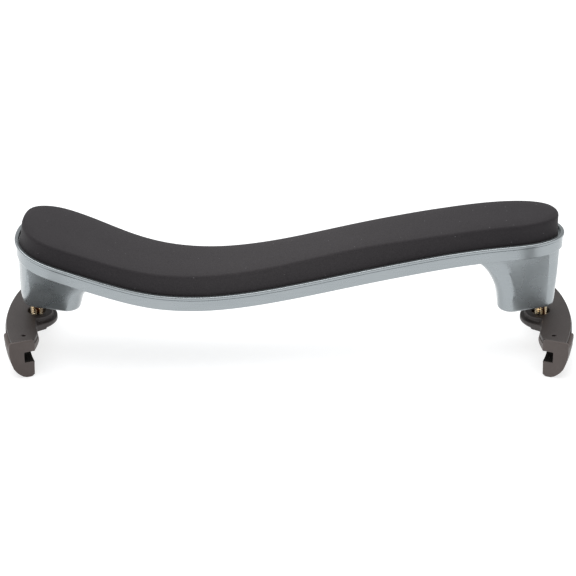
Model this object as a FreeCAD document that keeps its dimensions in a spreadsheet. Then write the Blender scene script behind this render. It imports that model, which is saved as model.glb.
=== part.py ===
import FreeCAD, Part
import math
import os
import re

import Sketcher
from FreeCAD import Placement, Rotation, Vector

# Violin shoulder rest, in millimetres.
# X runs along the rest, -X to the wide end; -Y is the side the plan bows to; Z is up.
# The origin is midway between the two claws, level with the underside of their toes.

doc = FreeCAD.newDocument("shoulder_rest")

# ---------------------------------------------------------------- driving dimensions

SIZES = (
    # alias, value, meaning
    ("stud_reach", 103.3, "stud axis to the middle of the rest"),
    ("leg_foot_level", 22.0, "underside of the legs"),
    ("rim_depth", 6.5, "height of the tray's side wall, lip included"),
    ("lip_height", 1.3, "height of the lip round the top of the side wall"),
    ("lip_reach", 1.9, "pad edge to the outside of the lip"),
    ("side_reach", 1.4, "pad edge to the outside of the side wall"),
    ("seat_gap", 0.3, "pad edge to the inside of the lip"),
    ("seat_depth", 1.2, "lip top down to the ledge that the pad is glued to"),
    ("skin", 2.0, "wall thickness of the moulding"),
    ("rib_thickness", 1.6, "stiffening ribs inside the tray"),
    ("rib_pitch", 22.0, "spacing of the cross ribs"),
    ("glue_thickness", 0.2, "adhesive sheet"),
    ("glue_inset", 0.2, "pad edge to the adhesive's edge"),
    ("left_tip", -108.3, "left end of the pad and its seat"),
    ("right_tip", 109.7, "right end of the seat, less its gap"),
    ("pad_short", 0.6, "the pad stops short of the seat at the right end"),
    ("end_round", 21.8, "length over which each end of the pad rounds off"),
    ("leg_draft_inset", 0.8, "side wall of the tray to the widest line of a leg"),
    ("leg_outer_reach", 4.6, "stud axis to the outer end of a leg's foot"),
    ("leg_inner_reach", 18.5, "stud axis to the inner end of a leg's foot"),
    ("leg_outer_half", 6.9, "half depth of a leg's foot at its outer end"),
    ("leg_inner_half", 13.2, "half depth of a leg's foot at its inner end"),
    ("leg_corner", 3.6, "corner radius of a leg"),
    ("leg_floor", 3.2, "thickness of the floor that closes a leg"),
    ("boss_radius", 5.6, "boss round each insert"),
    ("boss_height", 16.2, "leg underside to the top of the bosses"),
    ("insert_radius", 3.5, "outside of a brass insert"),
    ("insert_length", 10.0, "length of a brass insert"),
    ("insert_groove", 0.4, "depth of the groove that keys an insert in the moulding"),
    ("insert_band", 4.0, "full width length at each end of an insert"),
    ("insert_spacing", 11.7, "between the two width settings of a leg"),
    ("relief_depth", 14.6, "leg underside to the end of the clearance hole over an insert"),
    ("stud_radius", 2.5, "M5 stud"),
    ("stud_engagement", 7.8, "length of stud inside its insert at mid height"),
    ("thread_clearance", 0.05, "radial running clearance that stands for the thread"),
    ("stud_head_radius", 3.5, "head that keeps the claw on the stud"),
    ("stud_head_height", 1.2, "height of that head"),
    ("stud_chamfer", 0.5, "chamfer at both ends of the stud"),
    ("head_clearance", 0.3, "room round the stud head"),
    ("claw_top", 16.6, "top face of the claws"),
    ("claw_thickness", 5.0, "thickness of the claw plate"),
    ("claw_arc", 70.0, "radius of the claw's outer edge"),
    ("claw_apex", 11.6, "stud axis to the middle of the claw's outer edge"),
    ("claw_width", 11.7, "width of the claw plate's arms"),
    ("claw_set", 4.0, "angle that the claws are set to, to follow the instrument's edge"),
    ("hub_radius", 8.4, "hub round the stud"),
    ("web_angle", 125.0, "where the web that joins hub and arm leaves the hub, from the claw's axis"),
    ("web_run", 5.4, "length of the web's straight side"),
    ("collar_radius", 3.7, "outside of the brass collar"),
    ("collar_top_drop", 1.5, "claw top down to the collar"),
    ("collar_height", 1.9, "height of the brass collar"),
    ("collar_flange", 0.7, "thickness of the collar's flange"),
    ("collar_step", 0.5, "how far the flange stands out beyond the collar's barrel"),
    ("claw_bulge", 0.6, "how far the sides of the claw swell beyond its top face"),
    ("bulge_low", 1.5, "height at which the swelling is full"),
    ("bulge_high", 3.2, "height at which it starts to draw in again"),
    ("hub_step", 1.9, "upper tier of the hub in from its lower tier"),
    ("hub_tier", 3.0, "height of the hub's lower tier"),
    ("hub_chamfer", 1.2, "chamfer under the hub"),
    ("flange", 2.0, "top layer of an arm, which covers the foot's sleeve"),
    ("tongue_inner_step", 3.7, "arm's inner edge to the tongue inside the foot"),
    ("tongue_outer_step", 1.6, "arm's outer edge to the tongue inside the foot"),
    ("foot_end_angle", 23.9, "outer end of a foot, round the claw's arc"),
    ("cap_span", 0.9, "angle that a foot's closed end takes"),
    ("cap_gap", 0.35, "angle left open between the plate's end and the foot's closed end"),
    ("hook_span", 7.9, "angle that a foot's hook takes"),
    ("sleeve_span", 11.0, "angle that a foot's sleeve takes"),
    ("foot_proud", 1.5, "how far the sleeve stands out beyond the arm's outer edge"),
    ("foot_lobe", 0.6, "how far the sleeve stands out beyond the arm's inner edge"),
    ("taper_span", 8.5, "angle over which an arm and its foot narrow towards the toe's edge"),
    ("foot_lip", 0.3, "how far the foot's closed end stands above the claw"),
    ("foot_floor", 1.0, "thickness of the sleeve under the tongue"),
    ("sleeve_chamfer", 0.8, "chamfer along the underside of the sleeve"),
    ("sleeve_edge", 0.6, "chamfer along the top of the sleeve"),
    ("cap_chamfer", 0.9, "chamfer round the top of the closed end"),
    ("cap_lobe", 0.3, "how far the closed end stands out beyond the toe's inner face"),
    ("taper_margin", 0.3, "room between the arm's taper and the foot's"),
    ("foot_width", 10.4, "across a foot at its toe"),
    ("slot_height", 4.5, "height of the slot that grips the instrument's edge"),
    ("slot_depth", 4.1, "depth of that slot"),
    ("pin_radius", 0.8, "pin that locks a foot"),
    ("pin_length", 3.5, "length of that pin"),
    ("pin_sink", 1.2, "claw top down to the pin's end"),
    ("pin_angle", 19.0, "place of the pin round the claw's arc"),
    ("pin_ring", 64.1, "claw arc's centre to the pin"),
)

# The tray's run from end to end: place along X, plan centre line, half width of the pad,
# height of the lip and height of the pad's top.
STATIONS = (
    # x, centre, half_width, lip, pad_top
    (-112.0, -1.0, 17.7, 53.0, 60.9),
    (-84.0, -2.1, 18.3, 44.6, 52.9),
    (-60.0, -4.2, 15.7, 36.6, 45.1),
    (-35.0, -5.0, 13.3, 33.5, 42.4),
    (-6.0, -4.0, 12.0, 36.1, 45.3),
    (25.0, -1.7, 11.4, 41.6, 51.6),
    (56.0, -0.4, 12.3, 48.3, 57.0),
    (84.0, 0.0, 12.1, 52.6, 60.9),
    (112.0, 0.0, 12.1, 54.3, 62.7),
)
STATION_COLUMNS = ("x", "centre", "half_width", "lip", "pad_top")

sheet = doc.addObject("Spreadsheet::Sheet", "sizes")
sheet.Label = "sizes"
for row, (alias, number, meaning) in enumerate(SIZES, start=1):
    sheet.set(f"A{row}", meaning)
    sheet.set(f"B{row}", str(number))
    sheet.setAlias(f"B{row}", alias)
for row, station in enumerate(STATIONS, start=1):
    for letter, column, number in zip("DEFGH", STATION_COLUMNS, station):
        sheet.set(f"{letter}{row}", str(number))
        sheet.setAlias(f"{letter}{row}", f"station_{row}_{column}")
doc.recompute()


def size(formula):
    """Value of a formula in the sheet's aliases, such as "claw_top - claw_thickness"."""
    return float(sheet.evalExpression(formula))


ALIASES = re.compile(r"\b(" + "|".join(entry[0] for entry in SIZES) + r")\b")


def bound(formula):
    """The same formula as other objects have to write it, with the sheet's name before each alias."""
    return ALIASES.sub(r"sizes.\1", formula)


# ---------------------------------------------------------------- helpers

part_objects = []


def keep(thing, label):
    """Name a finished sub-part; its label is also the name of its file."""
    thing.Label = label
    part_objects.append(thing)
    return thing


def free_form(name, shape):
    """Moulded or foamed form that no feature describes, held as a plain shape."""
    feature = doc.addObject("Part::Feature", name)
    feature.Shape = shape
    return feature


def sketch_on(body, role, name):
    """Empty sketch on one of a body's own origin planes."""
    sketch = body.newObject("Sketcher::SketchObject", name)
    plane = next(item for item in body.Origin.OriginFeatures if item.Role == role)
    sketch.AttachmentSupport = (plane, [""])
    sketch.MapMode = "FlatFace"
    return sketch


def outline(sketch, corners):
    """Closed straight-sided outline; each corner is a pair of formulas."""
    points = [Vector(size(across), size(up), 0) for across, up in corners]
    count = len(points)
    for index in range(count):
        sketch.addGeometry(Part.LineSegment(points[index], points[(index + 1) % count]), False)
    for index in range(count):
        sketch.addConstraint(Sketcher.Constraint("Coincident", index, 2, (index + 1) % count, 1))
    for index, corner in enumerate(corners):
        for kind, formula in zip(("DistanceX", "DistanceY"), corner):
            place = sketch.addConstraint(Sketcher.Constraint(kind, -1, 1, index, 1, size(formula)))
            sketch.setExpression(f"Constraints[{place}]", bound(formula))


def circle(sketch, radius, across="0", up="0"):
    """Full circle; radius and centre are formulas."""
    centre = Vector(size(across), size(up), 0)
    index = sketch.addGeometry(Part.Circle(centre, Vector(0, 0, 1), size(radius)), False)
    for kind, formula in (("DistanceX", across), ("DistanceY", up)):
        place = sketch.addConstraint(Sketcher.Constraint(kind, -1, 1, index, 3, size(formula)))
        sketch.setExpression(f"Constraints[{place}]", bound(formula))
    place = sketch.addConstraint(Sketcher.Constraint("Radius", index, size(radius)))
    sketch.setExpression(f"Constraints[{place}]", bound(radius))


def turned(name, corners):
    """Body turned about its own Z axis from a half outline of radius and height formulas."""
    body = doc.addObject("PartDesign::Body", name)
    sketch = sketch_on(body, "XZ_Plane", name + "_half_section")
    outline(sketch, corners)
    turn = body.newObject("PartDesign::Revolution", name + "_turn")
    turn.Profile = sketch
    turn.ReferenceAxis = (sketch, ["V_Axis"])
    turn.Angle = 360
    return body


def spline(points, closed=False):
    """Smooth curve through the points."""
    curve = Part.BSplineCurve()
    curve.interpolate(Points=points, PeriodicFlag=closed)
    return curve


# ---------------------------------------------------------------- the tray's form

HALF_DEPTH = 60.0       # more than half of the rest's depth, for cutting bands
HALF_RUN = 130.0        # more than half of the rest's length
END_MARGIN = 6.0        # how far the bands run past the first and last stations
PARALLEL_POINTS = 48    # points that carry a parallel outline
END_POINTS = 5          # points round each end of the pad, tip included
LEFT_END_POWER = 2.9    # the wide end is blunt
RIGHT_END_POWER = 2.0   # the narrow end is an ellipse


def station_value(row, column):
    return sheet.get(f"station_{row}_{column}")


ROWS = range(1, len(STATIONS) + 1)


def profile(column, offset):
    """Side curve in the XZ plane: one column of the stations, moved up by an offset."""
    places = [(station_value(row, "x"), station_value(row, column)) for row in ROWS]
    points = [Vector(along, 0, height + offset) for along, height in places]
    first = points[0] + (points[0] - points[1]).normalize() * END_MARGIN
    last = points[-1] + (points[-1] - points[-2]).normalize() * END_MARGIN
    return spline([first] + points + [last])


def band(lower, upper):
    """Slab between two side curves, as deep as the whole rest and more."""
    low_edge = lower.toShape()
    high_edge = upper.toShape()
    start = Part.makeLine(lower.StartPoint, upper.StartPoint)
    finish = Part.makeLine(lower.EndPoint, upper.EndPoint)
    face = Part.Face(Part.Wire([start, high_edge, finish, low_edge]))
    face.translate(Vector(0, -HALF_DEPTH, 0))
    return face.extrude(Vector(0, 2 * HALF_DEPTH, 0))


def below(upper):
    """Everything under a side curve, down to the ground."""
    ground = spline([Vector(upper.StartPoint.x, 0, 0), Vector(upper.EndPoint.x, 0, 0)])
    return band(ground, upper)


def end_cap(tip, centre, half_width, power):
    """Points round one end of the pad, from the -Y side to the +Y side."""
    outward = math.copysign(1.0, tip)
    root = tip - outward * size("end_round")
    points = []
    for index in range(1, END_POINTS + 1):
        angle = math.pi * index / (END_POINTS + 1) - math.pi / 2
        along = math.cos(angle) ** (2 / power)
        across = math.copysign(abs(math.sin(angle)) ** (2 / power), angle)
        points.append(Vector(root + outward * size("end_round") * along, centre + half_width * across, 0))
    return points


def plan_curve(right_tip):
    """Closed plan curve of the seat's or the pad's edge, anticlockwise from above."""
    inner_rows = ROWS[1:-1]
    near = []
    far = []
    for row in inner_rows:
        along, centre, half = (station_value(row, column) for column in ("x", "centre", "half_width"))
        near.append(Vector(along, centre - half, 0))
        far.append(Vector(along, centre + half, 0))
    first, last = inner_rows[0], inner_rows[-1]
    left = end_cap(size("left_tip"), station_value(1, "centre"), station_value(first, "half_width"),
                   LEFT_END_POWER)
    right = end_cap(right_tip, station_value(last + 1, "centre"), station_value(last, "half_width"),
                    RIGHT_END_POWER)
    return spline(near + right + far[::-1] + left[::-1], closed=True)


SEAT_EDGE = plan_curve(size("right_tip"))
PAD_EDGE = plan_curve(size("right_tip - pad_short"))


def plan(reach, edge):
    """Face in plan inside an edge moved outwards by a reach, or inwards where it is negative."""
    start, end = edge.FirstParameter, edge.LastParameter
    points = []
    for index in range(PARALLEL_POINTS):
        parameter = start + (end - start) * index / PARALLEL_POINTS
        tangent = Vector(*edge.tangent(parameter)[0])
        outward = Vector(tangent.y, -tangent.x, 0)
        points.append(edge.value(parameter) + outward * reach)
    return Part.Face(Part.Wire(spline(points, closed=True).toShape()))


def prism(reach, edge=SEAT_EDGE):
    """Upright prism on a parallel of an edge, taller than the rest."""
    return plan(reach, edge).extrude(Vector(0, 0, 2 * HALF_DEPTH))


def layer(reach, lower, upper, edge=SEAT_EDGE):
    """Part of the tray's run inside one outline and between two side curves."""
    return prism(reach, edge).common(band(lower, upper))


# ---------------------------------------------------------------- legs

# Sections of a leg from its foot upwards: height over the foot, how far the inner end has moved
# towards the middle of the rest, how far the outer end has moved outwards, and what the section
# adds to the half depth at the outer and the inner end.
LEG_SECTIONS = {
    "left": ((0.0, 0.0, 0.0, 0.0, 0.0), (6.0, 1.0, 0.5, 2.6, 1.6), (11.0, 3.6, 0.8, 5.6, 3.4),
             (17.0, 12.0, 1.2, 9.6, 5.6), (31.0, 26.0, 1.7, 14.0, 8.0)),
    "right": ((0.0, 0.0, 0.0, 0.3, 0.7), (9.0, 0.7, 0.6, 0.4, 1.1), (16.0, 2.8, 1.0, 0.5, 1.4),
              (22.0, 8.0, 1.2, 0.6, 1.7), (31.0, 22.0, 1.5, 0.8, 2.0)),
}
SIGNS = {"left": -1, "right": 1}


def rounded_quad(corners, radius):
    """Closed wire through four corners in plan, each rounded with an arc."""
    count = len(corners)
    edges = []
    ends = []
    for index, corner in enumerate(corners):
        back = (corners[index - 1] - corner).normalize()
        ahead = (corners[(index + 1) % count] - corner).normalize()
        half_turn = back.getAngle(ahead) / 2
        setback = radius / math.tan(half_turn)
        middle = (back + ahead).normalize() * (radius / math.sin(half_turn) - radius)
        ends.append((corner + back * setback, corner + middle, corner + ahead * setback))
    for index, (start, middle, finish) in enumerate(ends):
        edges.append(Part.Arc(start, middle, finish).toShape())
        edges.append(Part.makeLine(finish, ends[(index + 1) % count][0]))
    return Part.Wire(edges)


def leg_loft(side, inset):
    """Leg from its foot up into the tray, with every wall moved inwards by an inset."""
    sign = SIGNS[side]
    stud = size("stud_reach")
    wires = []
    for rise, inward, outward, outer_growth, inner_growth in LEG_SECTIONS[side]:
        outer = sign * (stud + size("leg_outer_reach") + outward - inset)
        inner = sign * (stud - size("leg_inner_reach") - inward + inset)
        outer_half = size("leg_outer_half") + outer_growth - inset
        inner_half = size("leg_inner_half") + inner_growth - inset
        level = size("leg_foot_level") + rise
        corners = [Vector(outer, -outer_half, level), Vector(outer, outer_half, level),
                   Vector(inner, inner_half, level), Vector(inner, -inner_half, level)]
        wires.append(rounded_quad(corners, size("leg_corner") - inset / 2))
    return Part.makeLoft(wires, True, False)


def stud_places(side):
    """Plan places of a leg's outer and inner inserts."""
    sign = SIGNS[side]
    outer = sign * size("stud_reach")
    return {"outer": outer, "inner": outer - sign * size("insert_spacing")}


def upright(radius, along, bottom, height):
    return Part.makeCylinder(radius, height, Vector(along, 0, bottom))


# ---------------------------------------------------------------- base shell

def base_outside():
    """Outer form of the moulding: lip, side wall and two legs."""
    lip_top = profile("lip", 0)
    lip_foot = profile("lip", -size("lip_height"))
    wall_foot = profile("lip", -size("rim_depth"))
    lip = layer(size("lip_reach"), lip_foot, lip_top)
    wall = layer(size("side_reach"), wall_foot, lip_foot)
    shell = lip.fuse(wall)
    under_lip = below(lip_foot).common(prism(size("side_reach - leg_draft_inset")))
    for side in SIGNS:
        shell = shell.fuse(leg_loft(side, 0).common(under_lip))
    return shell.removeSplitter()


def base_inside():
    """Room inside the moulding: pad seat, ribbed tray hollow and the hollow legs."""
    ledge = profile("lip", -size("seat_depth"))
    floor = profile("lip", -size("rim_depth - skin"))
    above = profile("lip", size("rim_depth"))
    seat = layer(size("seat_gap"), ledge, above)
    hollow = layer(-size("skin - side_reach"), floor, ledge)
    ribs = []
    pitch = size("rib_pitch")
    count = int(size("stud_reach - leg_inner_reach") // pitch)
    for index in range(-count, count + 1):
        rib = Part.makeBox(size("rib_thickness"), 2 * HALF_DEPTH, 2 * HALF_DEPTH)
        rib.translate(Vector(index * pitch - size("rib_thickness") / 2, -HALF_DEPTH, 0))
        ribs.append(rib)
    hollow = hollow.cut(ribs)
    rooms = [hollow]
    for side in SIGNS:
        room = leg_loft(side, size("skin")).common(below(ledge))
        leg_floor = size("leg_foot_level + leg_floor")
        room = room.common(Part.makeBox(2 * HALF_RUN, 2 * HALF_DEPTH, 2 * HALF_DEPTH,
                                        Vector(-HALF_RUN, -HALF_DEPTH, leg_floor)))
        room = room.common(prism(size("side_reach - leg_draft_inset - skin")))
        bosses = [upright(size("boss_radius"), along, 0, size("leg_foot_level + boss_height"))
                  for along in stud_places(side).values()]
        rooms.append(room.cut(bosses))
    return [seat] + rooms


def base_shell():
    """Moulding with a stepped hole for each insert and the end of its stud."""
    form = free_form("base_form", base_outside().cut(base_inside()).removeSplitter())
    drills = []
    for side in SIGNS:
        for place, along in stud_places(side).items():
            seat = doc.addObject("Part::Cylinder", f"insert_seat_{side}_{place}")
            relief = doc.addObject("Part::Cylinder", f"stud_relief_{side}_{place}")
            seat.setExpression("Radius", bound("insert_radius"))
            seat.setExpression("Height", bound("insert_length"))
            relief.setExpression("Radius", bound("stud_radius + head_clearance"))
            relief.setExpression("Height", bound("relief_depth"))
            for drill in (seat, relief):
                drill.Placement.Base = Vector(along, 0, size("leg_foot_level"))
                drills.append(drill)
    drilled = doc.addObject("Part::MultiFuse", "insert_holes")
    drilled.Shapes = drills
    shell = doc.addObject("Part::Cut", "base_shell")
    shell.Base = form
    shell.Tool = drilled
    keep(shell, "base_shell")


def pad_adhesive():
    """Adhesive sheet on the tray's ledge and ribs."""
    ledge = profile("lip", -size("seat_depth"))
    upper = profile("lip", size("glue_thickness - seat_depth"))
    keep(free_form("pad_adhesive", layer(-size("glue_inset"), ledge, upper, PAD_EDGE)), "pad_adhesive")


def foam_pad():
    """Foam pad on the adhesive, square at its edges."""
    under = profile("lip", size("glue_thickness - seat_depth"))
    keep(free_form("foam_pad", layer(0, under, profile("pad_top", 0), PAD_EDGE)), "foam_pad")


# ---------------------------------------------------------------- brass fittings

def insert(side, place, along):
    """Threaded insert with a keying groove round its middle."""
    label = f"insert_{side}_{place}"
    bore = "stud_radius + thread_clearance"
    waist = "insert_radius - insert_groove"
    body = turned(label, (
        (bore, "0"), ("insert_radius", "0"),
        ("insert_radius", "insert_band"), (waist, "insert_band + insert_groove"),
        (waist, "insert_length - insert_band - insert_groove"),
        ("insert_radius", "insert_length - insert_band"),
        ("insert_radius", "insert_length"), (bore, "insert_length")))
    body.Placement.Base = Vector(along, 0, size("leg_foot_level"))
    keep(body, label)


def collar_top():
    return "claw_top - collar_top_drop"


def head_base():
    """Underside of a stud's head."""
    return f"{collar_top()} - collar_height - head_clearance - stud_head_height"


def stud(side):
    """Stud with a flat head under the claw and a chamfered upper end."""
    label = f"stud_{side}"
    length = f"leg_foot_level + stud_engagement - ({head_base()})"
    body = turned(label, (
        ("0", "0"), ("stud_head_radius - stud_chamfer", "0"), ("stud_head_radius", "stud_chamfer"),
        ("stud_head_radius", "stud_head_height"), ("stud_radius", "stud_head_height"),
        ("stud_radius", f"{length} - stud_chamfer"), ("stud_radius - stud_chamfer", length),
        ("0", length)))
    body.Placement.Base = Vector(SIGNS[side] * size("stud_reach"), 0, size(head_base()))
    keep(body, label)


def collar(side):
    """Flanged bush that the stud turns in."""
    label = f"collar_{side}"
    bore = "stud_radius + thread_clearance"
    barrel = "collar_radius - collar_step"
    flange = "collar_height - collar_flange"
    body = turned(label, (
        (bore, "0"), (barrel, "0"), (barrel, flange), ("collar_radius", flange),
        ("collar_radius", "collar_height"), (bore, "collar_height")))
    body.Placement.Base = Vector(SIGNS[side] * size("stud_reach"), 0,
                                 size(f"{collar_top()} - collar_height"))
    keep(body, label)


# ---------------------------------------------------------------- claws

# A claw's own frame has its origin on the axis of its arc, and +X towards its outer edge.
ARC_CENTRE = "claw_arc - claw_apex"     # arc's axis to the stud's axis
ARM_INNER = "claw_arc - claw_width"     # radius of an arm's inner edge
FOOT_OUTER = "claw_arc + foot_proud"
FOOT_INNER = f"{ARM_INNER} - foot_lobe"
TOE_INNER = f"{FOOT_OUTER} - foot_width"
CAP_INNER = f"{TOE_INNER} - cap_lobe"
TONGUE_INNER = f"{ARM_INNER} + tongue_inner_step"
TONGUE_OUTER = "claw_arc - tongue_outer_step"


# Outside of a foot's hook from the toe's edge, under it and up: distance in from the foot's outer
# face, and height.
HOOK_CURVE = ((10.2, 0.9), (9.0, 0.0), (6.6, 0.0), (5.3, 0.6), (4.1, 1.5), (2.9, 2.7), (1.7, 4.5),
              (0.7, 7.6))
TAPER_OVERRUN = 0.3     # degrees by which a tapering cut runs past the end of what it cuts
TAPER_DEPTH = 4         # how far inside the arm a tapering cut starts


def claw_frame(side, turn, level):
    """Placement of something in a claw's frame, turned by an angle round the claw's arc."""
    sign = SIGNS[side]
    facing = 90 - 90 * sign + sign * size("claw_set")
    stud_place = Vector(sign * size("stud_reach"), 0, level)
    reach = Rotation(Vector(0, 0, 1), facing).multVec(Vector(size(ARC_CENTRE), 0, 0))
    return Placement(stud_place - reach, Rotation(Vector(0, 0, 1), facing + turn))


def arc_piece(body, name, corners, span, reverse=None):
    """Length of a section of radius and height, carried round the claw's arc.

    It runs both ways from the body's XZ plane by half the span, or one way when told which.
    """
    sketch = sketch_on(body, "XZ_Plane", name + "_section")
    outline(sketch, corners)
    sweep = body.newObject("PartDesign::Revolution", name)
    sweep.Profile = sketch
    sweep.ReferenceAxis = (sketch, ["V_Axis"])
    sweep.setExpression("Angle", bound(span))
    sweep.Midplane = reverse is None
    sweep.Reversed = bool(reverse)
    return sweep


def taper(body, name, hand, end_angle, margin):
    """Cut that narrows an arm or a foot on its inner side, up to the edge of the toe.

    The end angle is where the foot ends in the body's frame, and hand is the way that end lies.
    """
    sketch = sketch_on(body, "XY_Plane", name + "_outline")
    root = f"({end_angle} - taper_span) * 1deg"
    tip = f"({end_angle} + {TAPER_OVERRUN}) * 1deg"
    outline(sketch, tuple(
        (f"({radius}) * cos({angle})", f"{hand} * ({radius}) * sin({angle})")
        for radius, angle in ((f"{TOE_INNER} + {margin}", tip), (f"{FOOT_INNER} + {margin} - 1", root),
                              (f"{FOOT_INNER} - {TAPER_DEPTH}", tip))))
    cut = body.newObject("PartDesign::Pocket", name)
    cut.Profile = sketch
    cut.Type = "ThroughAll"
    cut.Midplane = True


def claw_plate(side):
    """Crescent plate with a tongue for each foot and a two-tier hub round the stud."""
    label = f"claw_plate_{side}"
    body = doc.addObject("PartDesign::Body", label)
    arc_piece(body, f"{label}_arms", (
        (f"{ARM_INNER} + claw_bulge", "0"), ("claw_arc - claw_bulge", "0"),
        ("claw_arc + claw_bulge", "bulge_low"), ("claw_arc + claw_bulge", "bulge_high"),
        ("claw_arc", "claw_thickness"), (ARM_INNER, "claw_thickness"),
        (f"{ARM_INNER} - claw_bulge", "bulge_high"), (f"{ARM_INNER} - claw_bulge", "bulge_low")),
        "2 * (foot_end_angle - sleeve_span)")
    flange_foot = "claw_thickness - flange"
    arc_piece(body, f"{label}_tongues", (
        (TONGUE_INNER, "foot_floor"), (TONGUE_OUTER, "foot_floor"), (TONGUE_OUTER, flange_foot),
        ("claw_arc", flange_foot), ("claw_arc", "claw_thickness"), (ARM_INNER, "claw_thickness"),
        (ARM_INNER, flange_foot), (TONGUE_INNER, flange_foot)),
        "2 * (foot_end_angle - cap_span - cap_gap)")
    for hand in (1, -1):
        taper(body, f"{label}_taper_{hand + 2}", hand, "foot_end_angle", "taper_margin")

    def round_stud(name, kind, corners):
        sketch = sketch_on(body, "XZ_Plane", name + "_section")
        sketch.AttachmentOffset.Base = Vector(size(ARC_CENTRE), 0, 0)
        sketch.setExpression("AttachmentOffset.Base.x", bound(ARC_CENTRE))
        outline(sketch, corners)
        turn = body.newObject(kind, name)
        turn.Profile = sketch
        turn.ReferenceAxis = (sketch, ["V_Axis"])
        turn.Angle = 360

    round_stud(f"{label}_hub", "PartDesign::Revolution", (
        ("0", "0"), ("hub_radius - hub_chamfer", "0"), ("hub_radius", "hub_chamfer"),
        ("hub_radius", "hub_tier"), ("hub_radius - hub_step", "hub_tier"),
        ("hub_radius - hub_step", "claw_thickness"), ("0", "claw_thickness")))
    web_plan = sketch_on(body, "XY_Plane", f"{label}_web_outline")
    across = f"{ARC_CENTRE} + hub_radius * cos(web_angle * 1deg)"
    up = "hub_radius * sin(web_angle * 1deg)"
    arm_across = f"{across} + web_run * sin(web_angle * 1deg)"
    arm_up = f"{up} - web_run * cos(web_angle * 1deg)"
    outline(web_plan, ((across, f"-({up})"), (arm_across, f"-({arm_up})"), (ARC_CENTRE, f"-({up})"),
                       (ARC_CENTRE, up), (arm_across, arm_up), (across, up)))
    web = body.newObject("PartDesign::Pad", f"{label}_web")
    web.Profile = web_plan
    web.setExpression("Length", bound("hub_tier"))
    web_foot = "claw_thickness - collar_top_drop - collar_height"
    web_top = "claw_thickness - collar_top_drop - collar_flange"
    barrel = "collar_radius - collar_step"
    head_room = "stud_head_radius + head_clearance"
    doc.recompute()
    round_stud(f"{label}_stud_hole", "PartDesign::Groove", (
        ("0", "-1"), (head_room, "-1"), (head_room, web_foot), (barrel, web_foot),
        (barrel, web_top), ("collar_radius", web_top),
        ("collar_radius", "claw_thickness + 1"), ("0", "claw_thickness + 1")))
    pins = sketch_on(body, "XY_Plane", f"{label}_pin_places")
    for way in ("", "-"):
        circle(pins, "pin_radius", "pin_ring * cos(pin_angle * 1deg)",
               f"{way}pin_ring * sin(pin_angle * 1deg)")
    pocket = body.newObject("PartDesign::Pocket", f"{label}_pin_holes")
    pocket.Profile = pins
    pocket.Type = "ThroughAll"
    pocket.Midplane = True
    body.Placement = claw_frame(side, 0, size("claw_top - claw_thickness"))
    keep(body, label)


def foot_hand(side, place):
    """Which end of its claw a foot is on: 1 or -1 round the claw's arc."""
    return -SIGNS[side] if place == "front" else SIGNS[side]


def foot(side, place):
    """Soft foot: closed end, hook with its slot and toe, and the sleeve round the tongue."""
    label = f"foot_{side}_{place}"
    hand = foot_hand(side, place)
    body = doc.addObject("PartDesign::Body", label)
    jaw = "claw_top - claw_thickness"
    floor = f"{jaw} + foot_floor"
    rim = "claw_top - flange"
    shoulder = f"{jaw} + sleeve_chamfer"
    cap_top = "claw_top + foot_lip"
    slot_wall = f"{TOE_INNER} + slot_depth"
    slot_floor = f"{jaw} - slot_height"
    hook = (
        (TOE_INNER, jaw), (slot_wall, jaw), (slot_wall, slot_floor), (TOE_INNER, slot_floor),
        *((f"{FOOT_OUTER} - {drawn_in}", str(height)) for drawn_in, height in HOOK_CURVE),
        (FOOT_OUTER, jaw))
    cap_top_corners = (
        (FOOT_OUTER, shoulder), (FOOT_OUTER, f"{cap_top} - cap_chamfer"),
        (f"{FOOT_OUTER} - cap_chamfer", cap_top), (f"{CAP_INNER} + cap_chamfer", cap_top),
        (CAP_INNER, f"{cap_top} - cap_chamfer"), (CAP_INNER, shoulder))
    sleeve = (
        (f"{FOOT_INNER} + sleeve_chamfer", jaw), (f"{FOOT_OUTER} - sleeve_chamfer", jaw),
        (FOOT_OUTER, shoulder), (FOOT_OUTER, f"{rim} - sleeve_edge"),
        (f"{FOOT_OUTER} - sleeve_edge", rim), (TONGUE_OUTER, rim), (TONGUE_OUTER, floor),
        (TONGUE_INNER, floor), (TONGUE_INNER, rim), (f"{FOOT_INNER} + sleeve_edge", rim),
        (FOOT_INNER, f"{rim} - sleeve_edge"), (FOOT_INNER, shoulder))
    reverse = hand > 0
    arc_piece(body, f"{label}_cap", hook + cap_top_corners, "cap_span", reverse)
    arc_piece(body, f"{label}_hook", hook + ((FOOT_OUTER, floor), (TOE_INNER, floor)),
              "hook_span", reverse)
    arc_piece(body, f"{label}_sleeve", sleeve, "sleeve_span", reverse)
    taper(body, f"{label}_taper", hand, "0", "0")
    pin_foot = "claw_top - pin_sink - pin_length"
    seat = sketch_on(body, "XY_Plane", f"{label}_pin_place")
    seat.AttachmentOffset.Base = Vector(0, 0, size(pin_foot))
    seat.setExpression("AttachmentOffset.Base.z", bound(pin_foot))
    round_arc = "(foot_end_angle - pin_angle) * 1deg"
    circle(seat, "pin_radius", f"pin_ring * cos({round_arc})", f"{-hand} * pin_ring * sin({round_arc})")
    pocket = body.newObject("PartDesign::Pocket", f"{label}_pin_hole")
    pocket.Profile = seat
    pocket.setExpression("Length", bound("foot_floor"))
    pocket.Reversed = True
    body.Placement = claw_frame(side, hand * size("foot_end_angle"), 0)
    keep(body, label)


def pin(side, place):
    """Plain pin through the tongue into the floor of the foot's sleeve."""
    label = f"pin_{side}_{place}"
    turn = foot_hand(side, place) * size("pin_angle")
    frame = claw_frame(side, turn, size("claw_top - pin_sink - pin_length"))
    rod = doc.addObject("Part::Cylinder", label)
    rod.setExpression("Radius", bound("pin_radius"))
    rod.setExpression("Height", bound("pin_length"))
    rod.Placement = frame.multiply(Placement(Vector(size("pin_ring"), 0, 0), Rotation()))
    keep(rod, label)


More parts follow.
